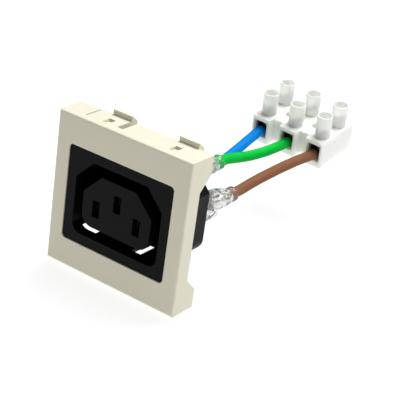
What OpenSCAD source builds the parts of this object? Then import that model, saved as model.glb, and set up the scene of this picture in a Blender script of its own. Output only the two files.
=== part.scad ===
// Panel power outlet: a square snap-in bezel holds a three-pole appliance outlet, whose rear tabs
// carry booted push-on receptacles and three short leads that end in a screw terminal strip.
// X is to the right of someone facing the front, Y runs to the back, Z is up.
// The origin is the centre of the bezel's front face.

/* [Bezel] */
// Width and height of the square front
front_w = 45; // [44:0.5:48]
// Depth of the walls at the four corners
corner_depth = 9.1; // [8.5:0.1:9.6]
// Depth of the two side walls between the corners
side_depth = 5; // [4.4:0.1:6]
// Thickness of the walls
wall_t = 1.6; // [1.4:0.1:1.8]
// Thickness of the front plate
plate_t = 2.4; // [2.4:0.1:3]
// Rounding of the front edges
front_edge_r = 0.6; // [0.3:0.1:1]
// Height of a clip's nose above the wall
nose_h = 1.45; // [1:0.05:1.6]
// Width of a clip's nose
nose_w = 6.4; // [5:0.1:7]

/* [Outlet] */
// Width of the flange that shows in the front
flange_w = 35.6; // [35.2:0.1:36]
// Height of that flange
flange_h = 28.2; // [27.8:0.1:28.6]
// Thickness of the flange
flange_t = 2; // [1.8:0.1:2.2]
// Depth of the flange's face behind the bezel's front
flange_recess = 0.35; // [0.2:0.05:0.4]
// Width of the cavity round the core
cavity_w = 29.6; // [29.2:0.1:30]
// Height of that cavity
cavity_h = 22.2; // [21.8:0.1:22.6]
// Wall thickness of the shroud
shroud_wall = 1.2; // [1:0.1:1.3]
// Overall depth of the outlet's housing
housing_depth = 20; // [19.6:0.1:20.6]
// Width of the core
core_w = 23.4; // [23:0.1:23.8]
// Height of the core
core_h = 15.7; // [15.3:0.1:16]
// Distance between the two live slots
pin_pitch = 14; // [13.8:0.1:14.2]
// Height of the earth slot above the live ones
earth_rise = 4; // [3.8:0.1:4.2]
// Width of a slot
slot_w = 2.5; // [2.3:0.1:2.7]
// Height of a slot
slot_h = 5; // [4.6:0.1:5.2]

/* [Contacts and receptacles] */
// Width of a rear tab
tab_w = 6.3; // [6:0.1:6.3]
// Thickness of a rear tab
tab_t = 0.8; // [0.7:0.05:0.8]
// Length of a rear tab behind the cover
tab_len = 8.4; // [7.6:0.1:8.6]
// Sheet thickness of a receptacle
sheet_t = 0.3; // [0.25:0.05:0.35]

/* [Boots] */
// Height of a boot's straight mouth
boot_h = 9.4; // [9.2:0.1:9.6]
// Width of a boot's mouth
boot_w = 6; // [5.8:0.1:6.2]
// Outer diameter of a boot's collar
boot_collar_d = 4.7; // [4.4:0.1:5]

/* [Leads] */
// Outer diameter of a lead's insulation
lead_d = 3.2; // [3:0.1:3.3]
// Diameter of the copper inside
conductor_d = 1.5; // [1.3:0.1:1.6]

/* [Terminal strip] */
// Distance between two poles
pole_pitch = 10; // [9.8:0.1:10.2]
// Width of a pole
pole_w = 6.3; // [6.1:0.1:6.6]
// Height of the strip's body
pole_h = 8.8; // [8.6:0.1:9]
// Depth of the strip from entry to entry
strip_depth = 18.6; // [18.2:0.1:19]
// Height of a screw tower above the body
tower_h = 7.3; // [7:0.1:7.6]
// Outer diameter of a screw tower
tower_d = 4.85; // [4.7:0.05:5]
// Bore of a screw tower
tower_bore = 4.1; // [4:0.05:4.2]
// Diameter of a fixing hole between the poles
fixing_d = 3.2; // [3:0.1:3.4]

/* [Screws] */
// Diameter of a screw's head
head_d = 3.9; // [3.7:0.1:3.9]
// Height of a screw's head
head_h = 3.2; // [3:0.1:3.3]
// Diameter of a screw's shank
shank_d = 3; // [2.8:0.1:3]
// How far the undone supply screws stand above the lead screws
undone_lift = 1.2; // [1:0.1:1.4]

/* [Hidden] */
$fn = 48;

// How far a cutter runs past the face that it opens
over = 0.5;
// Gap round the flange in its pocket, and round the rear cover in its rim
fit_gap = 0.1;

// Bezel
half_w = front_w / 2;
pocket_depth = flange_recess + flange_t;
ledge_depth = 4;
ledge_w = 40;
ledge_h = 32.5;
flange_r = 1.3;
opening_gap = 0.25;
cutout_half_h = 12.9;
nose_end = 11.7;
nose_flat = 0.4;
nose_end_drop = 0.3;
nose_x = [-11.3, 11.2];
tongue_slot_w = 1.9;
tongue_slot_y = 3;
edge_slot_x = -15.4;
edge_slot_w = 0.4;
edge_slot_gap = 0.2;
dimple_gap = 0.4;
dimple_inset = 1.4;
dimple_w = 2.1;
dimple_len = 3.2;
dimple_depth = 0.8;

// Outlet housing
cavity_chamfer = 5.6;
cavity_r = 3;
cavity_floor = 16.5;
floor_back = 18.2;
core_z = 0.15;
core_chamfer = 5.8;
core_r = 3.6;
core_front_t = 2;
live_z = -1.9;
pocket_w = 4.2;
pocket_h = 5.6;
catch_gap = 0.05;
catch_rise = 1;
catch_flat = 0.5;
catch_len = 3;
catch_h = 8;
window_lip = 0.8;
window_top = window_lip - cavity_h / 2;
corner_window = [-17, -9, 5];
floor_window = [3.9, 7, 8];

// Rear cover and contacts
pedestal_w = 22;
pedestal_top = 7;
pedestal_bottom = -10.6;
pedestal_end = 24.5;
pedestal_wall = 1;
pedestal_r = 1;
cover_back_t = 1.6;
tab_z = [-5.5, 1.9, -5.5];
pole_x = [-pin_pitch / 2, 0, pin_pitch / 2];
slot_z = [live_z, live_z + earth_rise, live_z];
leaf_h = 4.6;
leaf_t = 0.5;
leaf_tip = [1.35, 3];
leaf_pinch = [0.8, 4.8];
leaf_bend = [1.2, 9];
leaf_end = 13;
bridge_t = 0.8;
stem_h = 3;
jog_start = 19.4;
jog_end = 21.4;
shoulder = 0.45;
tab_end = pedestal_end + tab_len;
tab_tip = 0.9;
tab_hole_d = 1.6;
tab_hole_inset = 3.6;

// Receptacles and boots, with depths along Y
box_start = 25.5;
box_end = 33.5;
box_side = 3.45;
box_top = 0.8;
curl_gap = 2;
neck_w = 3.2;
grip_start = 40;
grip_end = 44;
flare_len = 1;
barrel_len = 4;
barrel_end = grip_start - flare_len;
barrel_start = barrel_end - barrel_len;
grip_wall = 0.4;
barrel_wall = 0.5;
boot_start = 25;
boot_straight = 34;
boot_step = 46;
boot_end = 49.2;
boot_wall = 0.6;
boot_waist_h = 6;
boot_waist_w = 5.4;
boot_rounding = 0.36;
boot_inner_taper = [0.2, 1.6];
slice = 0.2;

// Routes of the three leads, from the crimp to the face of the brass insert
ROUTES = [
    [[-7, 40, -5.5], [-7, 44.7, -5.5], [-7, 49.4, -5.5], [-7, 51.9, -5.4], [-7, 54.5, -5.1],
     [-7, 57.1, -4.7], [-6.95, 59.7, -4.2], [-6.95, 62.3, -3.6], [-6.9, 64.9, -2.9],
     [-6.9, 67.5, -2.15], [-6.85, 70.2, -1.35], [-6.85, 72.9, -0.5], [-6.8, 75.6, 0.3],
     [-6.8, 78.3, 1.05], [-6.8, 80.75, 1.45]],
    [[0, 40, 1.9], [0, 44.7, 1.9], [0, 49.4, 1.9], [0.1, 51.9, 1.75], [0.3, 54.5, 1.35],
     [0.55, 57.1, 0.95], [0.85, 59.7, 0.6], [1.2, 62.3, 0.35], [1.55, 64.9, 0.2],
     [1.9, 67.5, 0.15], [2.25, 70.2, 0.15], [2.55, 72.9, 0.25], [2.85, 75.6, 0.4],
     [3.1, 78.3, 0.6], [3.2, 81, 0.95]],
    [[7, 40, -5.5], [7, 44.7, -5.5], [7, 49.4, -5.5], [7.15, 51.9, -5.2], [7.5, 54.5, -4.6],
     [8, 57.1, -3.95], [8.55, 59.7, -3.3], [9.15, 62.3, -2.7], [9.75, 64.9, -2.1],
     [10.35, 67.5, -1.55], [10.95, 70.2, -1.05], [11.55, 72.9, -0.6], [12.15, 75.6, -0.25],
     [12.75, 78.3, 0.05], [13.2, 80.95, 0.45]]
];
lead_sides = 8;
ring_step = 2;
crimp_gap = 0.2;
bare_reach = 2.8;

// Terminal strip, in its own frame: the origin is the front bottom edge of the middle pole
strip_origin = [3, 80.5, -3];
strip_pitch_angle = 9;
strip_roll_angle = 3;
pole_r = 0.5;
cage_inset = 1.1;
cage_w = 4.4;
cage_bottom = 2.4;
cage_top = 7.8;
cage_bore_w = 3.2;
cage_floor = 3.15;
cage_roof = 6.85;
entry_w = 4.6;
entry_bottom = 2.1;
entry_top = 7.6;
screw_inset = 4.7;
screw_y = [screw_inset, strip_depth - screw_inset];
web_start = 1.5;
web_bottom = 0.6;
web_top = 8.2;
web_scoop_y = 1.2;
web_scoop_r = 2.3;
mark_d = 0.8;
mark_depth = 0.3;
mark_y = 7.4;
mark_z = 6.5;
thread_gap = 0.05;
tip_gap = 0.1;
head_z = 9.1;
drive_w = 0.8;
drive_depth = 0.9;
conductor_flat = conductor_d / 2 * cos(180 / lead_sides);
wire_z = cage_floor + conductor_flat;
tip_z = wire_z + conductor_flat + tip_gap;

bezel_colour = "antiquewhite";
housing_colour = "#222224";
brass_colour = "#c9a44c";
tin_colour = "#c4c6c8";
boot_colour = [0.9, 0.92, 0.9, 0.4];
strip_colour = "#e4e8de";
steel_colour = "#8d8f92";
copper_colour = "#c87a4a";
lead_colours = ["#0078dc", "#00be3c", "#a06950"];

// Extrudes a shape drawn in X and Z from one depth to another
module along_y(from, to) {
    translate([0, to, 0]) rotate([90, 0, 0]) linear_extrude(to - from) children();
}

// Extrudes a shape drawn in Y and Z from one side to another
module along_x(from, to) {
    translate([from, 0, 0]) rotate([90, 0, 90]) linear_extrude(to - from) children();
}

module rounded_rect(w, h, r) {
    square([w, h - 2 * r], center = true);
    square([w - 2 * r, h], center = true);
    for (sx = [-1, 1], sy = [-1, 1])
        translate([sx * (w / 2 - r), sy * (h / 2 - r)]) circle(r);
}

// Outline of a three-pole outlet: two chamfered corners above and two round ones below
module outlet_outline(w, h, chamfer, r) {
    x = w / 2;
    z = h / 2;
    polygon([
        [-x, -z + r], [-x + r, -z], [x - r, -z], [x, -z + r],
        [x, z - chamfer], [x - chamfer, z], [-x + chamfer, z], [-x, z - chamfer]
    ]);
    for (side = [-1, 1]) translate([side * (x - r), -z + r]) circle(r);
}

// The cavity's outline, grown outwards by an even amount
module cavity_outline(grow = 0) {
    outlet_outline(
        cavity_w + 2 * grow, cavity_h + 2 * grow,
        cavity_chamfer + grow * (2 - sqrt(2)), cavity_r + grow
    );
}

// Round tube from one radius to another, lying along Y
module cylinder_y(from, to, r) {
    translate([0, from, 0]) rotate([-90, 0, 0]) cylinder(h = to - from, r = r);
}

// ---- Bezel ----

module bezel_walls() {
    difference() {
        square(front_w, center = true);
        square(front_w - 2 * wall_t, center = true);
    }
}

// Lowers both side walls between the corners, with slanted ends
module side_cutout() {
    reach = corner_depth + over - side_depth;
    along_x(-half_w - over, half_w + over) polygon([
        [side_depth, -cutout_half_h], [side_depth, cutout_half_h],
        [side_depth + reach, cutout_half_h + reach], [side_depth + reach, -cutout_half_h - reach]
    ]);
}

// Removes what lies outside the round front edge along the top
module front_edge_cutter() {
    along_x(-half_w - over, half_w + over) difference() {
        translate([-over, half_w - front_edge_r]) square(front_edge_r + over);
        translate([front_edge_r, half_w - front_edge_r]) circle(front_edge_r);
    }
}

// Wedge that snaps behind the panel, on a tongue that runs past the wall
module clip_nose(x) {
    inner = half_w - wall_t;
    along_x(x, x + nose_w) polygon([
        [corner_depth - over, inner], [corner_depth - over, half_w],
        [corner_depth, half_w], [corner_depth, half_w + nose_h],
        [corner_depth + nose_flat, half_w + nose_h],
        [nose_end, half_w - nose_end_drop], [nose_end, inner]
    ]);
}

module clip_cuts() {
    cut_z = half_w - wall_t - over;
    cut_h = wall_t + 2 * over;
    translate([nose_x[0] + nose_w, tongue_slot_y, cut_z])
        cube([tongue_slot_w, corner_depth, cut_h]);
    translate([edge_slot_x - edge_slot_w / 2, plate_t + edge_slot_gap, cut_z])
        cube([edge_slot_w, corner_depth, cut_h]);
    for (x = nose_x)
        translate([x + dimple_inset, plate_t + dimple_gap, half_w - dimple_depth])
            cube([dimple_w, dimple_len, dimple_depth + over]);
}

module bezel() {
    color(bezel_colour) difference() {
        union() {
            along_y(0, plate_t) square(front_w, center = true);
            along_y(0, ledge_depth) square([ledge_w, ledge_h], center = true);
            along_y(0, corner_depth) bezel_walls();
            for (z = [0, 1]) mirror([0, 0, z]) for (x = nose_x) clip_nose(x);
        }
        along_y(-over, pocket_depth)
            rounded_rect(flange_w + 2 * fit_gap, flange_h + 2 * fit_gap, flange_r);
        along_y(0, ledge_depth + over) square([
            cavity_w + 2 * (shroud_wall + opening_gap), cavity_h + 2 * (shroud_wall + opening_gap)
        ], center = true);
        side_cutout();
        for (z = [0, 1]) mirror([0, 0, z]) clip_cuts();
        for (turn = [0:90:270]) rotate([0, turn, 0]) front_edge_cutter();
    }
}

// ---- Outlet ----

module core_outline() {
    translate([0, core_z]) outlet_outline(core_w, core_h, core_chamfer, core_r);
}

// Ramp on the shroud's side that holds the housing behind the bezel's ledge
module side_catch() {
    x = cavity_w / 2 + shroud_wall;
    y = ledge_depth + catch_gap;
    translate([0, 0, -catch_h / 2]) linear_extrude(catch_h) polygon([
        [x - shroud_wall / 2, y], [x + catch_rise, y], [x + catch_rise, y + catch_flat],
        [x, y + catch_len], [x - shroud_wall / 2, y + catch_len]
    ]);
}

// Opening through the shroud's lower side, behind the ledge: [left, right, length]
module shroud_window(window) {
    translate([window[0], ledge_depth, -cavity_h])
        cube([window[1] - window[0], window[2], cavity_h + window_top]);
}

module outlet_housing() {
    face = flange_recess + core_front_t;
    color(housing_colour) difference() {
        union() {
            along_y(flange_recess, pocket_depth) rounded_rect(flange_w, flange_h, flange_r);
            along_y(pocket_depth - over, housing_depth) cavity_outline(shroud_wall);
            for (side = [0, 1]) mirror([side, 0, 0]) side_catch();
        }
        difference() {
            along_y(-over, cavity_floor) cavity_outline();
            along_y(flange_recess, cavity_floor + over) core_outline();
        }
        along_y(floor_back, housing_depth + over) cavity_outline();
        for (i = [0:2]) translate([pole_x[i], 0, slot_z[i]]) {
            along_y(-over, face + over) square([slot_w, slot_h], center = true);
            along_y(face, floor_back + over) square([pocket_w, pocket_h], center = true);
        }
        shroud_window(corner_window);
        shroud_window(floor_window);
    }
}

module rear_cover() {
    h = pedestal_top - pedestal_bottom;
    middle = (pedestal_top + pedestal_bottom) / 2;
    color(housing_colour) difference() {
        union() {
            along_y(floor_back, housing_depth) cavity_outline(-fit_gap);
            along_y(housing_depth - over, pedestal_end)
                translate([0, middle]) rounded_rect(pedestal_w, h, pedestal_r);
        }
        along_y(floor_back - over, pedestal_end - cover_back_t) translate([0, middle])
            square([pedestal_w - 2 * pedestal_wall, h - 2 * pedestal_wall], center = true);
        for (i = [0:2]) translate([pole_x[i], 0, tab_z[i]])
            along_y(floor_back, pedestal_end + over) square([tab_t, tab_w], center = true);
    }
}

// ---- Contacts ----

// Two sprung leaves on a bridge, drawn from above; each leaf point is [half gap, depth]
module contact_leaves() {
    out = [leaf_t, 0];
    half = [
        [leaf_bend[0] + leaf_t, leaf_end], leaf_bend + out, leaf_pinch + out, leaf_tip + out,
        leaf_tip, leaf_pinch, leaf_bend, [leaf_bend[0], leaf_end - bridge_t]
    ];
    other = [for (i = [len(half) - 1:-1:0]) [-half[i][0], half[i][1]]];
    linear_extrude(leaf_h, center = true) polygon(concat(half, other));
}

// Flat stem, shoulder and tab, drawn from the side
module contact_blade(from_z, to_z) {
    stem = stem_h / 2;
    tab = tab_w / 2;
    wide = tab + shoulder;
    start = leaf_end - bridge_t / 2;
    back = pedestal_end - cover_back_t;
    along_x(-tab_t / 2, tab_t / 2) difference() {
        polygon([
            [start, from_z + stem], [jog_start, from_z + stem],
            [jog_end, to_z + wide], [back, to_z + wide],
            [back, to_z + tab], [tab_end - tab_tip, to_z + tab], [tab_end, to_z + tab - tab_tip],
            [tab_end, to_z - tab + tab_tip], [tab_end - tab_tip, to_z - tab], [back, to_z - tab],
            [back, to_z - wide], [jog_end, to_z - wide],
            [jog_start, from_z - stem], [start, from_z - stem]
        ]);
        translate([tab_end - tab_hole_inset, to_z]) circle(d = tab_hole_d);
    }
}

module contact(i) {
    color(brass_colour) translate([pole_x[i], 0, 0]) {
        translate([0, 0, slot_z[i]]) contact_leaves();
        contact_blade(slot_z[i], tab_z[i]);
    }
}

module contact_neutral() { contact(0); }
module contact_earth() { contact(1); }
module contact_line() { contact(2); }

// ---- Push-on receptacles ----

// Flat channel whose edges curl back over the tab
module channel_outline() {
    base = tab_t / 2;
    inner = curl_gap / 2;
    outer = box_side + sheet_t;
    translate([base, -outer]) square([sheet_t, 2 * outer]);
    for (z = [0, 1]) mirror([0, z]) {
        translate([-box_top - sheet_t, box_side])
            square([base + box_top + 2 * sheet_t, sheet_t]);
        translate([-box_top - sheet_t, inner]) square([sheet_t, outer - inner]);
        translate([-box_top - sheet_t, inner]) square([box_top + sheet_t - base, sheet_t]);
    }
}

module receptacle(i) {
    wire_r = conductor_d / 2;
    grip_r = lead_d / 2;
    reach = grip_r + grip_wall + over;
    color(tin_colour) translate([pole_x[i], 0, tab_z[i]]) {
        along_y(box_start, box_end) channel_outline();
        difference() {
            union() {
                translate([tab_t / 2, box_end - over, -neck_w / 2])
                    cube([sheet_t, barrel_start + 2 * over - box_end, neck_w]);
                cylinder_y(barrel_start, barrel_end, wire_r + barrel_wall);
                translate([0, barrel_end, 0]) rotate([-90, 0, 0]) cylinder(
                    h = flare_len, r1 = wire_r + barrel_wall, r2 = grip_r + grip_wall
                );
                cylinder_y(grip_start, grip_end, grip_r + grip_wall);
            }
            cylinder_y(barrel_start - over, grip_start, wire_r);
            cylinder_y(grip_start, grip_end + over, grip_r);
            translate([-reach, barrel_end, -reach]) cube([reach, flare_len, 2 * reach]);
        }
    }
}

module receptacle_blue() { receptacle(0); }
module receptacle_green() { receptacle(1); }
module receptacle_brown() { receptacle(2); }

// ---- Boots ----

// Part of a boot that keeps its section from one depth to another
module boot_length(from, to, w, h) {
    along_y(from, to) rounded_rect(w, h, min(w, h) * boot_rounding, $fn = 32);
}

module boot(i) {
    collar_r = boot_collar_d / 2;
    inner_w = boot_w - 2 * boot_wall;
    inner_h = boot_h - 2 * boot_wall;
    color(boot_colour) translate([pole_x[i], 0, tab_z[i]]) difference() {
        union() {
            hull() {
                boot_length(boot_start, boot_straight, boot_w, boot_h);
                boot_length(boot_step - slice, boot_step, boot_waist_w, boot_waist_h);
            }
            cylinder_y(boot_step - over, boot_end, collar_r);
        }
        hull() {
            boot_length(boot_start - over, boot_straight, inner_w, inner_h);
            boot_length(
                grip_start - slice, grip_start,
                inner_w - boot_inner_taper[0], inner_h - boot_inner_taper[1]
            );
        }
        cylinder_y(grip_start - over, grip_end, lead_d / 2 + grip_wall);
        cylinder_y(grip_end - over, boot_end + over, lead_d / 2);
    }
}

module boot_blue() { boot(0); }
module boot_green() { boot(1); }
module boot_brown() { boot(2); }

// ---- Leads ----

function unit(v) = v / norm(v);
function heading(path, i) = unit(path[min(i + 1, len(path) - 1)] - path[max(i - 1, 0)]);

// A polygon round the path's point i, square to the path, with a flat side underneath
function ring(path, i, r) =
    let (along = heading(path, i), up = unit(cross([1, 0, 0], along)), across = cross(along, up))
    [for (k = [0:lead_sides - 1])
        let (turn = (k + 0.5) * 360 / lead_sides)
        path[i] + r * (cos(turn) * across + sin(turn) * up)];

// The side faces between the rings that start at each pair of neighbouring offsets
function skin(rings, first, inward) = [
    for (i = [0:rings - 2], k = [0:lead_sides - 1])
        let (
            next = (k + 1) % lead_sides, a = first + i * lead_sides,
            quad = [a + k, a + next, a + lead_sides + next, a + lead_sides + k]
        )
        inward ? [quad[3], quad[2], quad[1], quad[0]] : quad
];

// Solid rod along a path
module rod(path, r) {
    n = len(path);
    last = (n - 1) * lead_sides;
    polyhedron(
        [for (i = [0:n - 1]) each ring(path, i, r)],
        concat(
            skin(n, 0, false),
            [[for (k = [lead_sides - 1:-1:0]) k]],
            [[for (k = [0:lead_sides - 1]) last + k]]
        )
    );
}

// Tube along a path
module tube(path, r, bore_r) {
    n = len(path);
    bore = n * lead_sides;
    last = (n - 1) * lead_sides;
    polyhedron(
        concat(
            [for (i = [0:n - 1]) each ring(path, i, r)],
            [for (i = [0:n - 1]) each ring(path, i, bore_r)]
        ),
        concat(
            skin(n, 0, false),
            skin(n, bore, true),
            [for (k = [0:lead_sides - 1]) let (next = (k + 1) % lead_sides)
                [bore + k, bore + next, next, k]],
            [for (k = [0:lead_sides - 1]) let (next = (k + 1) % lead_sides)
                [last + k, last + next, bore + last + next, bore + last + k]]
        )
    );
}

// Every second point of a lead's route
function lead_path(i) = [for (k = [0:ring_step:len(ROUTES[i]) - 1]) ROUTES[i][k]];

// Where a point of the strip's own frame lies in the object's frame
function from_strip(p) =
    let (
        ca = cos(strip_pitch_angle), sa = sin(strip_pitch_angle),
        cb = cos(strip_roll_angle), sb = sin(strip_roll_angle),
        x = p[0] * cb + p[2] * sb, z = p[2] * cb - p[0] * sb
    )
    strip_origin + [x, p[1] * ca - z * sa, p[1] * sa + z * ca];

module lead(i) {
    color(lead_colours[i]) tube(lead_path(i), lead_d / 2, conductor_d / 2);
}

module conductor(i) {
    path = lead_path(i);
    bare_start = [path[0][0], barrel_start + crimp_gap, path[0][2]];
    bare_end = from_strip([(i - 1) * pole_pitch, screw_inset + bare_reach, wire_z]);
    color(copper_colour) rod(concat([bare_start], path, [bare_end]), conductor_d / 2);
}

module lead_blue() { lead(0); }
module lead_green() { lead(1); }
module lead_brown() { lead(2); }
module conductor_blue() { conductor(0); }
module conductor_green() { conductor(1); }
module conductor_brown() { conductor(2); }

// ---- Terminal strip ----

module in_strip() {
    translate(strip_origin) rotate([strip_pitch_angle, 0, 0]) rotate([0, strip_roll_angle, 0])
        children();
}

module pole() {
    translate([0, strip_depth / 2, 0]) linear_extrude(pole_h)
        rounded_rect(pole_w, strip_depth, pole_r);
    for (y = screw_y) translate([0, y, pole_h - over])
        cylinder(h = tower_h + over, d = tower_d);
}

// Room for the brass insert, its two wire entries and its two screws
module pole_cuts() {
    translate([-cage_w / 2, cage_inset, cage_bottom])
        cube([cage_w, strip_depth - 2 * cage_inset, cage_top - cage_bottom]);
    for (y = [-over, strip_depth - cage_inset])
        translate([-entry_w / 2, y, entry_bottom])
            cube([entry_w, cage_inset + over, entry_top - entry_bottom]);
    for (y = screw_y) translate([0, y, cage_top - over])
        cylinder(h = pole_h + tower_h - cage_top + 2 * over, d = tower_bore);
}

// Web between two poles, scooped at both ends
module web() {
    gap = pole_pitch - pole_w;
    difference() {
        translate([-gap / 2 - over, web_start, web_bottom])
            cube([gap + 2 * over, strip_depth - 2 * web_start, web_top - web_bottom]);
        for (y = [web_scoop_y, strip_depth - web_scoop_y])
            translate([0, y, 0]) cylinder(h = pole_h, r = web_scoop_r);
    }
}

module strip_body() {
    outer_x = pole_pitch + pole_w / 2;
    color(strip_colour) in_strip() difference() {
        union() {
            for (x = [-1:1]) translate([x * pole_pitch, 0, 0]) pole();
            for (x = [-0.5, 0.5]) translate([x * pole_pitch, 0, 0]) web();
        }
        for (x = [-1:1]) translate([x * pole_pitch, 0, 0]) pole_cuts();
        for (x = [-0.5, 0.5]) translate([x * pole_pitch, strip_depth / 2, 0])
            cylinder(h = pole_h, d = fixing_d);
        for (side = [-1, 1])
            translate([side * (outer_x - mark_depth), mark_y, mark_z]) rotate([0, side * 90, 0])
                cylinder(h = mark_depth + over, d = mark_d);
    }
}

module insert(i) {
    color(brass_colour) in_strip() translate([(i - 1) * pole_pitch, 0, 0]) difference() {
        translate([-cage_w / 2, cage_inset, cage_bottom])
            cube([cage_w, strip_depth - 2 * cage_inset, cage_top - cage_bottom]);
        translate([-cage_bore_w / 2, 0, cage_floor])
            cube([cage_bore_w, strip_depth, cage_roof - cage_floor]);
        for (y = screw_y) translate([0, y, cage_roof - over])
            cylinder(h = cage_top - cage_roof + 2 * over, d = shank_d + 2 * thread_gap);
    }
}

module insert_blue() { insert(0); }
module insert_green() { insert(1); }
module insert_brown() { insert(2); }

// ---- Screws ----

module screw(i, y, lift) {
    color(steel_colour) in_strip() translate([(i - 1) * pole_pitch, y, lift]) difference() {
        union() {
            translate([0, 0, tip_z]) cylinder(h = head_z + over - tip_z, d = shank_d);
            translate([0, 0, head_z]) cylinder(h = head_h, d = head_d);
        }
        translate([-drive_w / 2, -head_d, head_z + head_h - drive_depth])
            cube([drive_w, 2 * head_d, drive_depth + over]);
    }
}

module lead_screw_blue() { screw(0, screw_y[0], 0); }
module lead_screw_green() { screw(1, screw_y[0], 0); }
module lead_screw_brown() { screw(2, screw_y[0], 0); }
module supply_screw_blue() { screw(0, screw_y[1], undone_lift); }
module supply_screw_green() { screw(1, screw_y[1], undone_lift); }
module supply_screw_brown() { screw(2, screw_y[1], undone_lift); }

bezel();
outlet_housing();
rear_cover();
contact_neutral();
contact_earth();
contact_line();
receptacle_blue();
receptacle_green();
receptacle_brown();
boot_blue();
boot_green();
boot_brown();
lead_blue();
lead_green();
lead_brown();
conductor_blue();
conductor_green();
conductor_brown();
strip_body();
insert_blue();
insert_green();
insert_brown();
lead_screw_blue();
lead_screw_green();
lead_screw_brown();
supply_screw_blue();
supply_screw_green();
supply_screw_brown();
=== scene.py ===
"""Dresses a pre-wired snap-in outlet module: its leads, boots, mouldings and metal parts."""

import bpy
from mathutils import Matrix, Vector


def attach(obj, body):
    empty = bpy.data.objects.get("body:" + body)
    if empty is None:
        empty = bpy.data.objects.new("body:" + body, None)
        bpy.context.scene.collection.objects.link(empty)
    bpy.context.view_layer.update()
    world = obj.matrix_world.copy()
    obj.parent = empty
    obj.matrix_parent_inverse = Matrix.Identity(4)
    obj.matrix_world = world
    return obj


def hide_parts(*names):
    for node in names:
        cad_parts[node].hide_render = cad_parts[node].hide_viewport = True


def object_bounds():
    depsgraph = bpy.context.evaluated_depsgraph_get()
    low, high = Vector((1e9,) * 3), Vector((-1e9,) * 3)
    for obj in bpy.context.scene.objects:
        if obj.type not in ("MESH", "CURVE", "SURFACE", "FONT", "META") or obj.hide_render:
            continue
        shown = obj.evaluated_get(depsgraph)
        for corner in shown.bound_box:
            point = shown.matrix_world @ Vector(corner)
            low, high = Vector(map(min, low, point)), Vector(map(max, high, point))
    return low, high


bl_info = {
    "name": "Wired Outlet Module",
    "version": (1, 0, 0),
    "blender": (4, 5, 0),
    "location": "3D View > Sidebar > Outlet",
    "description": "Finishes a snap-in appliance outlet with three leads and a terminal strip",
    "category": "Object",
}

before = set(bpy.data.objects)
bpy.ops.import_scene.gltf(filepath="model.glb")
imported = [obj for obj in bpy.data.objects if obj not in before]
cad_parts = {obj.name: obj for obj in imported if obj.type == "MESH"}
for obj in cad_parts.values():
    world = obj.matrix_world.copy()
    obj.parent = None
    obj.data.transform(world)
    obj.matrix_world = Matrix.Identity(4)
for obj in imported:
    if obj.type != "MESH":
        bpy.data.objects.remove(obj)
CAD_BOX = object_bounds()

import math

import bmesh
import bpy
from bpy.props import FloatProperty, FloatVectorProperty, IntProperty, PointerProperty
from mathutils import Matrix, Vector

MM = 0.001
BODY = "module"
COLOURS = ("blue", "green", "brown")

# The leads' routes from the crimp to the terminal's brass insert, in metres.
ROUTES = {
    "blue": [
        (-0.007, 0.04, -0.0055), (-0.007, 0.0447, -0.0055), (-0.007, 0.0494, -0.0055),
        (-0.007, 0.0519, -0.0054), (-0.007, 0.0545, -0.0051), (-0.007, 0.0571, -0.0047),
        (-0.00695, 0.0597, -0.0042), (-0.00695, 0.0623, -0.0036), (-0.0069, 0.0649, -0.0029),
        (-0.0069, 0.0675, -0.00215), (-0.00685, 0.0702, -0.00135), (-0.00685, 0.0729, -0.0005),
        (-0.0068, 0.0756, 0.0003), (-0.0068, 0.0783, 0.00105), (-0.0068, 0.08075, 0.00145),
    ],
    "green": [
        (0.0, 0.04, 0.0019), (0.0, 0.0447, 0.0019), (0.0, 0.0494, 0.0019),
        (0.0001, 0.0519, 0.00175), (0.0003, 0.0545, 0.00135), (0.00055, 0.0571, 0.00095),
        (0.00085, 0.0597, 0.0006), (0.0012, 0.0623, 0.00035), (0.00155, 0.0649, 0.0002),
        (0.0019, 0.0675, 0.00015), (0.00225, 0.0702, 0.00015), (0.00255, 0.0729, 0.00025),
        (0.00285, 0.0756, 0.0004), (0.0031, 0.0783, 0.0006), (0.0032, 0.081, 0.00095),
    ],
    "brown": [
        (0.007, 0.04, -0.0055), (0.007, 0.0447, -0.0055), (0.007, 0.0494, -0.0055),
        (0.00715, 0.0519, -0.0052), (0.0075, 0.0545, -0.0046), (0.008, 0.0571, -0.00395),
        (0.00855, 0.0597, -0.0033), (0.00915, 0.0623, -0.0027), (0.00975, 0.0649, -0.0021),
        (0.01035, 0.0675, -0.00155), (0.01095, 0.0702, -0.00105), (0.01155, 0.0729, -0.0006),
        (0.01215, 0.0756, -0.00025), (0.01275, 0.0783, 0.00005), (0.0132, 0.08095, 0.00045),
    ],
}


# ---- Settings that the panel shows ----

def linear(hex_colour):
    """Turns an sRGB hex colour into linear red, green and blue."""
    channels = [int(hex_colour[k:k + 2], 16) / 255 for k in (1, 3, 5)]
    return tuple(c / 12.92 if c <= 0.04045 else ((c + 0.055) / 1.055) ** 2.4 for c in channels)


def colour_property(name, description, hex_colour):
    """A colour that the panel shows, set from sRGB hex."""
    return FloatVectorProperty(
        name=name, description=description, subtype="COLOR", size=3, min=0, max=1,
        default=linear(hex_colour),
    )


def length_property(name, description, millimetres):
    """A length that the panel shows, set in millimetres."""
    return FloatProperty(
        name=name, description=description, subtype="DISTANCE", unit="LENGTH", min=0,
        default=millimetres * MM,
    )


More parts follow.
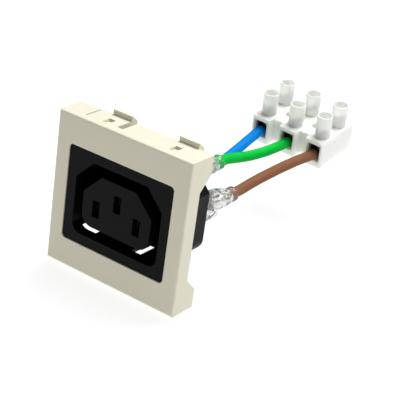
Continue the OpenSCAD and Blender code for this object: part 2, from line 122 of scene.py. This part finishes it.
class StageSettings(bpy.types.PropertyGroup):
    """Floor and lights."""

    floor_drop: length_property("Floor drop", "Height of the module's lowest edge above it", 0.4)
    floor_colour: colour_property("Floor colour", "Colour of the paper under light", "#7c7c7c")
    floor_glow: FloatProperty(
        name="Floor glow", description="Light that comes up through the paper and fades shadows",
        min=0, default=0.86,
    )
    top_watts: FloatProperty(
        name="Top light", description="Power of the overhead softbox", min=0, default=5.0,
    )
    right_watts: FloatProperty(
        name="Right light", description="Power of the softbox on the right", min=0, default=0.6,
    )
    sky: FloatProperty(
        name="Room light", description="Strength of the even light all round", min=0, default=0.22,
    )


class LeadSettings(bpy.types.PropertyGroup):
    """The three insulated leads."""

    diameter: length_property("Diameter", "Outer diameter of the insulation", 3.2)
    sides: IntProperty(name="Sides", description="Faces round a lead", min=8, default=40)
    blue: colour_property("Blue", "Colour of the neutral lead", "#0083dc")
    green: colour_property("Green", "Colour of the earth lead", "#00b83d")
    brown: colour_property("Brown", "Colour of the line lead", "#855a40")


class BootSettings(bpy.types.PropertyGroup):
    """The clear boots over the receptacles."""

    sides: IntProperty(name="Sides", description="Faces round a boot", min=16, default=64)
    tint: colour_property("Tint", "Colour of the clear PVC", "#fcfdfb")


class MouldingSettings(bpy.types.PropertyGroup):
    """The moulded plastics."""

    bezel: colour_property("Bezel", "Colour of the bezel's ABS", "#e1ddc8")
    outlet: colour_property("Outlet", "Colour of the outlet's polyamide", "#0b0b0b")
    strip: colour_property("Strip", "Colour of the strip's natural polyethylene", "#f5f9f0")
    edge: length_property("Edge rounding", "Radius of the moulded edges", 0.18)


# ---- Nodes and materials ----

# How many octaves of noise a grain, a colour and a roughness have.
FINE_DETAIL = 3.0
SOFT_DETAIL = 2.0
PATCH_DETAIL = 4.0
# Between these two values lies nearly all of a noise texture.
NOISE_SPAN = (0.3, 0.7)
# Rays that round an edge in the shading.
EDGE_SAMPLES = 4


def add_node(tree, kind, settings=(), links=()):
    """Adds a node, sets its properties and inputs by name, and links its inputs."""
    node = tree.nodes.new(kind)
    for key, value in dict(settings).items():
        if key in node.inputs:
            node.inputs[key].default_value = value
        else:
            setattr(node, key, value)
    for key, socket in dict(links).items():
        tree.links.new(socket, node.inputs[key])
    return node


def new_material(name):
    """An empty material with its tree and its Principled shader."""
    material = bpy.data.materials.new(name)
    material.use_nodes = True
    tree = material.node_tree
    return material, tree, tree.nodes["Principled BSDF"]


def set_inputs(shader, **values):
    """Sets a shader's inputs, named with underscores for spaces."""
    for key, value in values.items():
        shader.inputs[key.replace("_", " ")].default_value = value


def grain_normal(tree, grain, depth, edge=0.0):
    """A normal with a fine grain, on edges rounded by the given radius; sizes are in metres.

    A moulded or stamped skin has a finer grain than the render can show, so it is drawn coarser.
    """
    spot = add_node(tree, "ShaderNodeTexCoord")
    noise = add_node(tree, "ShaderNodeTexNoise", {"Scale": 1 / grain, "Detail": FINE_DETAIL},
                     {"Vector": spot.outputs["Object"]})
    bump = add_node(tree, "ShaderNodeBump", {"Distance": depth},
                    {"Height": noise.outputs["Fac"]})
    if edge:
        rounded = add_node(tree, "ShaderNodeBevel", {"samples": EDGE_SAMPLES, "Radius": edge})
        tree.links.new(rounded.outputs["Normal"], bump.inputs["Normal"])
    return bump.outputs["Normal"]


def varied_colour(tree, colour, patch, amount):
    """A colour that drifts a little lighter and darker over patches of the given size."""
    spot = add_node(tree, "ShaderNodeTexCoord")
    noise = add_node(tree, "ShaderNodeTexNoise", {"Scale": 1 / patch, "Detail": SOFT_DETAIL},
                     {"Vector": spot.outputs["Object"]})
    ramp = add_node(tree, "ShaderNodeValToRGB", links={"Fac": noise.outputs["Fac"]})
    for stop, place, share in zip(ramp.color_ramp.elements, NOISE_SPAN, (1 - amount, 1 + amount)):
        stop.position = place
        stop.color = [min(1, c * share) for c in colour] + [1]
    return ramp.outputs["Color"]


def varied_roughness(tree, low, high, patch):
    """A roughness that drifts between two values."""
    spot = add_node(tree, "ShaderNodeTexCoord")
    noise = add_node(tree, "ShaderNodeTexNoise", {"Scale": 1 / patch, "Detail": PATCH_DETAIL},
                     {"Vector": spot.outputs["Object"]})
    span = {"From Min": NOISE_SPAN[0], "From Max": NOISE_SPAN[1], "To Min": low, "To Max": high}
    spread = add_node(tree, "ShaderNodeMapRange", span, {"Value": noise.outputs["Fac"]})
    return spread.outputs["Result"]


def dress(tree, shader, colour, roughness, normal):
    """Links a colour, a roughness and a normal to a shader."""
    for key, socket in (("Base Color", colour), ("Roughness", roughness), ("Normal", normal)):
        tree.links.new(socket, shader.inputs[key])


def cream_abs(settings):
    """Injection-moulded ABS with a fine spark-eroded grain: matt, warm and even."""
    material, tree, shader = new_material("cream_abs_moulded")
    set_inputs(shader, IOR=1.5, Subsurface_Weight=0.06, Subsurface_Scale=1 * MM)
    dress(tree, shader,
          varied_colour(tree, settings.bezel, patch=9 * MM, amount=0.012),
          varied_roughness(tree, low=0.42, high=0.52, patch=2 * MM),
          grain_normal(tree, grain=0.3 * MM, depth=0.004 * MM, edge=settings.edge))
    return material


def black_polyamide(settings):
    """Glass-filled black polyamide: dark, with a satin skin that catches light at its edges."""
    material, tree, shader = new_material("black_polyamide_moulded")
    set_inputs(shader, IOR=1.53, Specular_IOR_Level=0.07)
    dress(tree, shader,
          varied_colour(tree, settings.outlet, patch=5 * MM, amount=0.08),
          varied_roughness(tree, low=0.34, high=0.46, patch=1.5 * MM),
          grain_normal(tree, grain=0.25 * MM, depth=0.003 * MM, edge=settings.edge))
    return material


def natural_polyethylene(settings):
    """Unpigmented polyethylene: milky, so that light spreads about a millimetre inside it."""
    material, tree, shader = new_material("natural_polyethylene_moulded")
    set_inputs(shader, IOR=1.5, Subsurface_Weight=1.0, Subsurface_Radius=(1.0, 1.0, 0.9),
               Subsurface_Scale=1.2 * MM)
    dress(tree, shader,
          varied_colour(tree, settings.strip, patch=6 * MM, amount=0.01),
          varied_roughness(tree, low=0.38, high=0.5, patch=2 * MM),
          grain_normal(tree, grain=0.5 * MM, depth=0.004 * MM, edge=settings.edge))
    return material


def clear_pvc(settings):
    """Soft clear PVC, dip-moulded: glossy, with faint ripples left by the mould.

    It bends light less than solid PVC does, so that its thin skin stays clear at the edges.
    """
    material, tree, shader = new_material("clear_pvc_dipped")
    set_inputs(shader, Base_Color=tuple(settings.tint) + (1,), IOR=1.33, Transmission_Weight=0.93,
               Roughness=0.1)
    tree.links.new(grain_normal(tree, grain=1.6 * MM, depth=0.06 * MM), shader.inputs["Normal"])
    return material


def lead_pvc(colour, name):
    """Extruded PVC insulation: smooth, with a soft sheen."""
    material, tree, shader = new_material("pvc_insulation_" + name)
    set_inputs(shader, IOR=1.53, Specular_IOR_Level=0.05)
    dress(tree, shader,
          varied_colour(tree, colour, patch=4 * MM, amount=0.06),
          varied_roughness(tree, low=0.48, high=0.58, patch=1.2 * MM),
          grain_normal(tree, grain=0.4 * MM, depth=0.004 * MM))
    return material


def bright_metal(name, hex_colour, low, high, edge):
    """A rolled or plated metal with fine marks from stamping."""
    material, tree, shader = new_material(name)
    set_inputs(shader, Metallic=1.0)
    dress(tree, shader,
          varied_colour(tree, linear(hex_colour), patch=1.2 * MM, amount=0.08),
          varied_roughness(tree, low=low, high=high, patch=0.4 * MM),
          grain_normal(tree, grain=0.15 * MM, depth=0.003 * MM, edge=edge))
    return material


# ---- Meshes ----

def link_mesh(name, mesh, material):
    """Puts a finished mesh into the scene as a piece with one material."""
    piece = bpy.data.objects.new(name, mesh)
    bpy.context.collection.objects.link(piece)
    mesh.materials.clear()
    mesh.materials.append(material)
    for face in mesh.polygons:
        face.use_smooth = True
    return piece


# Points closer than this are one point, and faces flatter than this to each other are one face.
WELD = 1e-7
FLAT = math.radians(0.2)
# An edge that turns by more than this stays a sharp corner.
SHARP = math.radians(28)


def dressed_copy(node, name, material, body=BODY):
    """A copy of a frame node with welded faces, smooth rounds and sharp corners, in its place."""
    build = bmesh.new()
    build.from_mesh(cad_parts[node].data)
    bmesh.ops.remove_doubles(build, verts=build.verts, dist=WELD)
    bmesh.ops.dissolve_limit(build, angle_limit=FLAT, verts=build.verts, edges=build.edges)
    for edge in build.edges:
        edge.smooth = len(edge.link_faces) == 2 and edge.calc_face_angle() < SHARP
    mesh = bpy.data.meshes.new(name)
    build.to_mesh(mesh)
    build.free()
    piece = link_mesh(name, mesh, material)
    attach(piece, body)
    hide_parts(node)
    return piece


def group_input(tree, name, kind):
    """Adds a named input to a node group."""
    tree.interface.new_socket(name=name, in_out="INPUT", socket_type=kind)


def sheath_tree():
    """Geometry Nodes that sweep a round section along a curve."""
    tree = bpy.data.node_groups.new("Lead sheath", "GeometryNodeTree")
    group_input(tree, "Geometry", "NodeSocketGeometry")
    group_input(tree, "Radius", "NodeSocketFloat")
    group_input(tree, "Sides", "NodeSocketInt")
    group_input(tree, "Material", "NodeSocketMaterial")
    tree.interface.new_socket(name="Geometry", in_out="OUTPUT", socket_type="NodeSocketGeometry")
    given = add_node(tree, "NodeGroupInput")
    section = add_node(tree, "GeometryNodeCurvePrimitiveCircle", links={
        "Resolution": given.outputs["Sides"], "Radius": given.outputs["Radius"]})
    sweep = add_node(tree, "GeometryNodeCurveToMesh", {"Fill Caps": True}, {
        "Curve": given.outputs["Geometry"], "Profile Curve": section.outputs["Curve"]})
    real = add_node(tree, "GeometryNodeRealizeInstances",
                    links={"Geometry": sweep.outputs["Mesh"]})
    finish = add_node(tree, "GeometryNodeSetMaterial", links={
        "Geometry": real.outputs["Geometry"], "Material": given.outputs["Material"]})
    add_node(tree, "NodeGroupOutput", links={"Geometry": finish.outputs["Geometry"]})
    return tree


# How many straight pieces a curve has between two of its points.
CURVE_STEPS = 8


def smooth_curve(name, points):
    """A curve of one spline that runs smoothly through the points."""
    data = bpy.data.curves.new(name, "CURVE")
    data.dimensions = "3D"
    data.resolution_u = CURVE_STEPS
    spline = data.splines.new("BEZIER")
    spline.bezier_points.add(len(points) - 1)
    for knot, point in zip(spline.bezier_points, points):
        knot.co = point
        knot.handle_left_type = knot.handle_right_type = "AUTO"
    guide = bpy.data.objects.new(name, data)
    bpy.context.collection.objects.link(guide)
    return guide


def bake_tree(guide, tree, values, name):
    """Runs a Geometry Nodes tree on an object and returns the result as a plain mesh."""
    modifier = guide.modifiers.new("Nodes", "NODES")
    modifier.node_group = tree
    for socket in tree.interface.items_tree:
        if socket.in_out == "INPUT" and socket.name in values:
            modifier[socket.identifier] = values[socket.name]
    bpy.context.view_layer.update()
    evaluated = guide.evaluated_get(bpy.context.evaluated_depsgraph_get())
    mesh = bpy.data.meshes.new_from_object(evaluated)
    mesh.name = name
    bpy.data.objects.remove(guide)
    return mesh


def oval(y, half_w, half_h, squareness, sides, centre):
    """Points of an oval section across Y; a squareness of 2 gives an ellipse."""
    ring = []
    for k in range(sides):
        turn = 2 * math.pi * k / sides
        c, s = math.cos(turn), math.sin(turn)
        x = math.copysign(abs(c) ** (2 / squareness), c) * half_w
        z = math.copysign(abs(s) ** (2 / squareness), s) * half_h
        ring.append(Vector((centre[0] + x, y, centre[1] + z)))
    return ring


def closed_loft(name, rings):
    """A mesh through a closed round of rings: the last ring joins the first."""
    build = bmesh.new()
    loops = [[build.verts.new(p) for p in ring] for ring in rings]
    for i, loop in enumerate(loops):
        ahead = loops[(i + 1) % len(loops)]
        for k in range(len(loop)):
            n = (k + 1) % len(loop)
            build.faces.new((loop[k], loop[n], ahead[n], ahead[k]))
    bmesh.ops.recalc_face_normals(build, faces=build.faces)
    mesh = bpy.data.meshes.new(name)
    build.to_mesh(mesh)
    build.free()
    return mesh


# ---- Stage ----

# The camera's place in metres, its angles in degrees, and its lens and sensor in millimetres.
CAMERA_PLACE = Vector((0.18078, -0.24063, 0.1471))
CAMERA_HEADING = 32.747
CAMERA_DIP = 24.961
CAMERA_ROLL = 8.315
CAMERA_LENS = 112.5
SENSOR_WIDTH = 36.0
# Nothing nearer than this is drawn, in metres.
CAMERA_NEAR = 0.01
# Half the side of the paper, in metres.
FLOOR_HALF = 3.0
# What the lights face, and the place and side of each softbox, in metres.
LIT_POINT = Vector((0, 0.03, 0))
TOP_PLACE, TOP_SIDE = Vector((0.05, 0.25, 0.55)), 0.45
RIGHT_PLACE, RIGHT_SIDE = Vector((0.60, 0.10, 0.25)), 0.4
WHITE = (1, 1, 1, 1)


def place_camera():
    """Aims the camera by its heading from +Y to the left, its dip below level and its roll."""
    data = bpy.data.cameras.new("Camera")
    data.lens = CAMERA_LENS
    data.sensor_width = SENSOR_WIDTH
    data.clip_start = CAMERA_NEAR
    camera = bpy.data.objects.new("Camera", data)
    bpy.context.collection.objects.link(camera)
    turn = (Matrix.Rotation(math.radians(CAMERA_HEADING), 4, "Z")
            @ Matrix.Rotation(math.radians(90 - CAMERA_DIP), 4, "X")
            @ Matrix.Rotation(math.radians(CAMERA_ROLL), 4, "Z"))
    camera.matrix_world = Matrix.Translation(CAMERA_PLACE) @ turn
    bpy.context.scene.camera = camera


def softbox(name, place, side, watts):
    """A square area light that faces the object."""
    data = bpy.data.lights.new(name, "AREA")
    data.size = side
    data.energy = watts
    light = bpy.data.objects.new(name, data)
    bpy.context.collection.objects.link(light)
    turn = (LIT_POINT - place).to_track_quat("-Z", "Y").to_matrix().to_4x4()
    light.matrix_world = Matrix.Translation(place) @ turn


class OUTLET_OT_stage(bpy.types.Operator):
    """Lay the floor and place the lights and the camera"""

    bl_idname = "outlet.stage"
    bl_label = "Stage"

    def execute(self, context):
        settings = context.scene.outlet_stage
        place_camera()
        low = CAD_BOX[0][2] - settings.floor_drop
        mesh = bpy.data.meshes.new("floor")
        corners = [(x * FLOOR_HALF, y * FLOOR_HALF, low)
                   for x, y in ((-1, -1), (1, -1), (1, 1), (-1, 1))]
        mesh.from_pydata(corners, [], [(0, 1, 2, 3)])
        material, _, shader = new_material("white_paper")
        paper = tuple(settings.floor_colour) + (1,)
        set_inputs(shader, Base_Color=paper, Roughness=0.9, Specular_IOR_Level=0.1,
                   Emission_Color=WHITE, Emission_Strength=settings.floor_glow)
        floor = link_mesh("floor", mesh, material)
        world = bpy.data.worlds.new("Room")
        context.scene.world = world
        world.use_nodes = True
        backdrop = world.node_tree.nodes["Background"]
        backdrop.inputs["Color"].default_value = WHITE
        backdrop.inputs["Strength"].default_value = settings.sky
        softbox("top_softbox", TOP_PLACE, TOP_SIDE, settings.top_watts)
        softbox("right_softbox", RIGHT_PLACE, RIGHT_SIDE, settings.right_watts)
        context.scene.view_settings.view_transform = "Standard"
        return {"FINISHED"}


# ---- Leads and boots ----

class OUTLET_OT_leads(bpy.types.Operator):
    """Sweep the three leads along their routes"""

    bl_idname = "outlet.leads"
    bl_label = "Leads"

    def execute(self, context):
        settings = context.scene.outlet_leads
        tree = sheath_tree()
        for colour in COLOURS:
            material = lead_pvc(getattr(settings, colour), colour)
            guide = smooth_curve("route_" + colour, ROUTES[colour])
            values = {"Radius": settings.diameter / 2, "Sides": settings.sides,
                      "Material": material}
            mesh = bake_tree(guide, tree, values, "sheath_" + colour)
            sheath = link_mesh("sheath_" + colour, mesh, material)
            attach(sheath, BODY)
            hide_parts("lead_" + colour)
            held = [bpy.data.objects[kind + colour]
                    for kind in ("strands_", "cage_", "lead_clamp_", "supply_clamp_")]
            if colour == "green":
                held.append(bpy.data.objects["terminal_strip"])
        return {"FINISHED"}


# Sections of a boot's outside, from its mouth to its collar: depth, half width, half height,
# squareness, and how far the section's centre lies above the lead's. Lengths are in millimetres.
BOOT_OUTSIDE = [
    (25.0, 2.4, 4.35, 2.6, 0.0), (25.15, 2.5, 4.45, 2.6, 0.0), (30.0, 2.5, 4.45, 2.6, 0.0),
    (35.6, 2.5, 4.4, 2.6, 0.0), (36.2, 2.5, 4.3, 2.6, 0.04), (36.6, 2.5, 3.75, 2.5, 0.5),
    (36.9, 2.5, 3.42, 2.4, 0.78), (38.5, 2.52, 3.3, 2.3, 0.68), (41.0, 2.54, 2.95, 2.1, 0.36),
    (42.3, 2.54, 2.68, 2.0, 0.1), (42.8, 2.46, 2.5, 2.0, 0.0), (43.05, 2.3, 2.3, 2.0, 0.0),
    (43.5, 2.24, 2.24, 2.0, 0.0), (45.3, 2.26, 2.26, 2.0, 0.0), (45.55, 2.4, 2.4, 2.0, 0.0),
    (46.15, 2.42, 2.42, 2.0, 0.0), (46.4, 2.28, 2.28, 2.0, 0.0),
]
# Sections of its inside, from the collar back to the mouth. The collar's bore grips the lead.
BOOT_INSIDE = [
    (46.4, 1.57, 1.57, 2.0, 0.0), (44.2, 1.57, 1.57, 2.0, 0.0), (44.0, 2.04, 2.04, 2.0, 0.0),
    (40.2, 2.04, 2.04, 2.0, 0.0), (39.6, 2.06, 2.4, 2.1, 0.4), (37.2, 2.06, 2.85, 2.3, 0.72),
    (35.8, 2.06, 3.8, 2.6, 0.05), (25.0, 2.06, 3.9, 2.8, 0.0),
]
# How far each boot is drawn back over its receptacle behind its mouth, in millimetres.
BOOT_SLIDE = {"blue": 0.8, "green": 1.2, "brown": 0.0}
# Sections up to this depth belong to the mouth, which stays against the cover.
BOOT_MOUTH_END = 25.2


def boot_mesh(colour, sides):
    """One lead's boot as a closed skin, outside and in."""
    start = ROUTES[colour][0]
    rings = []
    for y, w, h, squareness, rise in BOOT_OUTSIDE + BOOT_INSIDE:
        depth = y if y < BOOT_MOUTH_END else y + BOOT_SLIDE[colour]
        centre = (start[0], start[2] + rise * MM)
        rings.append(oval(depth * MM, w * MM, h * MM, squareness, sides, centre))
    return closed_loft("boot_" + colour, rings)


class OUTLET_OT_boots(bpy.types.Operator):
    """Loft the three clear boots over the receptacles"""

    bl_idname = "outlet.boots"
    bl_label = "Boots"

    def execute(self, context):
        settings = context.scene.outlet_boots
        material = clear_pvc(settings)
        for colour in COLOURS:
            mesh = boot_mesh(colour, settings.sides)
            boot = link_mesh("clear_boot_" + colour, mesh, material)
            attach(boot, BODY)
            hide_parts("boot_" + colour)
        return {"FINISHED"}


# ---- Finishes of the frame's own parts ----

class OUTLET_OT_mouldings(bpy.types.Operator):
    """Finish the bezel, the outlet and the terminal strip"""

    bl_idname = "outlet.mouldings"
    bl_label = "Mouldings"

    def execute(self, context):
        settings = context.scene.outlet_mouldings
        dressed_copy("bezel", "bezel_frame", cream_abs(settings))
        black = black_polyamide(settings)
        dressed_copy("outlet_housing", "outlet_moulding", black)
        dressed_copy("rear_cover", "outlet_cover", black)
        milky = natural_polyethylene(settings)
        dressed_copy("strip_body", "terminal_strip", milky)
        return {"FINISHED"}


# Each metal's name, colour, lowest and highest roughness and edge rounding in metres.
METALS = (
    # Rolled sheet, darker than bright brass as painted shade that keeps the deep slots dark:
    # yellow-brown and half matt.
    ("rolled_brass", "#8a6a34", 0.35, 0.5, 0.05 * MM),
    # Matt tin: nearly white, with a soft shine.
    ("tin_plated_brass", "#eeeeee", 0.3, 0.45, 0.06 * MM),
    # Nickel in deep shade: a dark grey that still glints.
    ("nickel_plated_brass", "#6a6b68", 0.25, 0.4, 0.05 * MM),
    # Bright zinc: pale, faintly blue and half matt.
    ("zinc_plated_steel", "#e8eaea", 0.3, 0.45, 0.1 * MM),
    # Bared copper, darkened as painted shade so that it stays dark inside the shaded entries.
    ("annealed_copper", "#8a5f45", 0.25, 0.4, 0.0),
)


class OUTLET_OT_metals(bpy.types.Operator):
    """Finish the contacts, receptacles, conductors, inserts and screws"""

    bl_idname = "outlet.metals"
    bl_label = "Metal parts"

    def execute(self, context):
        brass, tin, nickel, zinc, copper = [bright_metal(*metal) for metal in METALS]
        for pole in ("neutral", "earth", "line"):
            dressed_copy("contact_" + pole, "leaf_" + pole, brass)
        for colour in COLOURS:
            dressed_copy("receptacle_" + colour, "terminal_" + colour, tin)
            dressed_copy("conductor_" + colour, "strands_" + colour, copper)
            dressed_copy("insert_" + colour, "cage_" + colour, nickel)
            for row in ("lead_", "supply_"):
                screw = row + "screw_" + colour
                dressed_copy(screw, row + "clamp_" + colour, zinc, screw)
        return {"FINISHED"}


class OUTLET_PT_panel(bpy.types.Panel):
    """Buttons and settings for the outlet module"""

    bl_idname = "OUTLET_PT_panel"
    bl_label = "Wired outlet module"
    bl_space_type = "VIEW_3D"
    bl_region_type = "UI"
    bl_category = "Outlet"

    def draw(self, context):
        for operator, settings in STEPS:
            self.layout.operator(operator.bl_idname)
            if settings:
                group = getattr(context.scene, settings)
                for name in group.__annotations__:
                    self.layout.prop(group, name)


SETTINGS = {
    "outlet_stage": StageSettings, "outlet_leads": LeadSettings, "outlet_boots": BootSettings,
    "outlet_mouldings": MouldingSettings,
}
STEPS = (
    (OUTLET_OT_stage, "outlet_stage"), (OUTLET_OT_mouldings, "outlet_mouldings"),
    (OUTLET_OT_metals, None), (OUTLET_OT_leads, "outlet_leads"),
    (OUTLET_OT_boots, "outlet_boots"),
)


def register():
    """Adds the settings, the operators and the panel to Blender."""
    for name, group in SETTINGS.items():
        bpy.utils.register_class(group)
        setattr(bpy.types.Scene, name, PointerProperty(type=group))
    for operator, _ in STEPS:
        bpy.utils.register_class(operator)
    bpy.utils.register_class(OUTLET_PT_panel)


def unregister():
    """Takes them out again."""
    bpy.utils.unregister_class(OUTLET_PT_panel)
    for operator, _ in reversed(STEPS):
        bpy.utils.unregister_class(operator)
    for name, group in SETTINGS.items():
        delattr(bpy.types.Scene, name)
        bpy.utils.unregister_class(group)


def main():
    """Makes every piece in order."""
    register()
    for operator, _ in STEPS:
        family, call = operator.bl_idname.split(".")
        getattr(getattr(bpy.ops, family), call)()


if __name__ == "__main__":
    main()
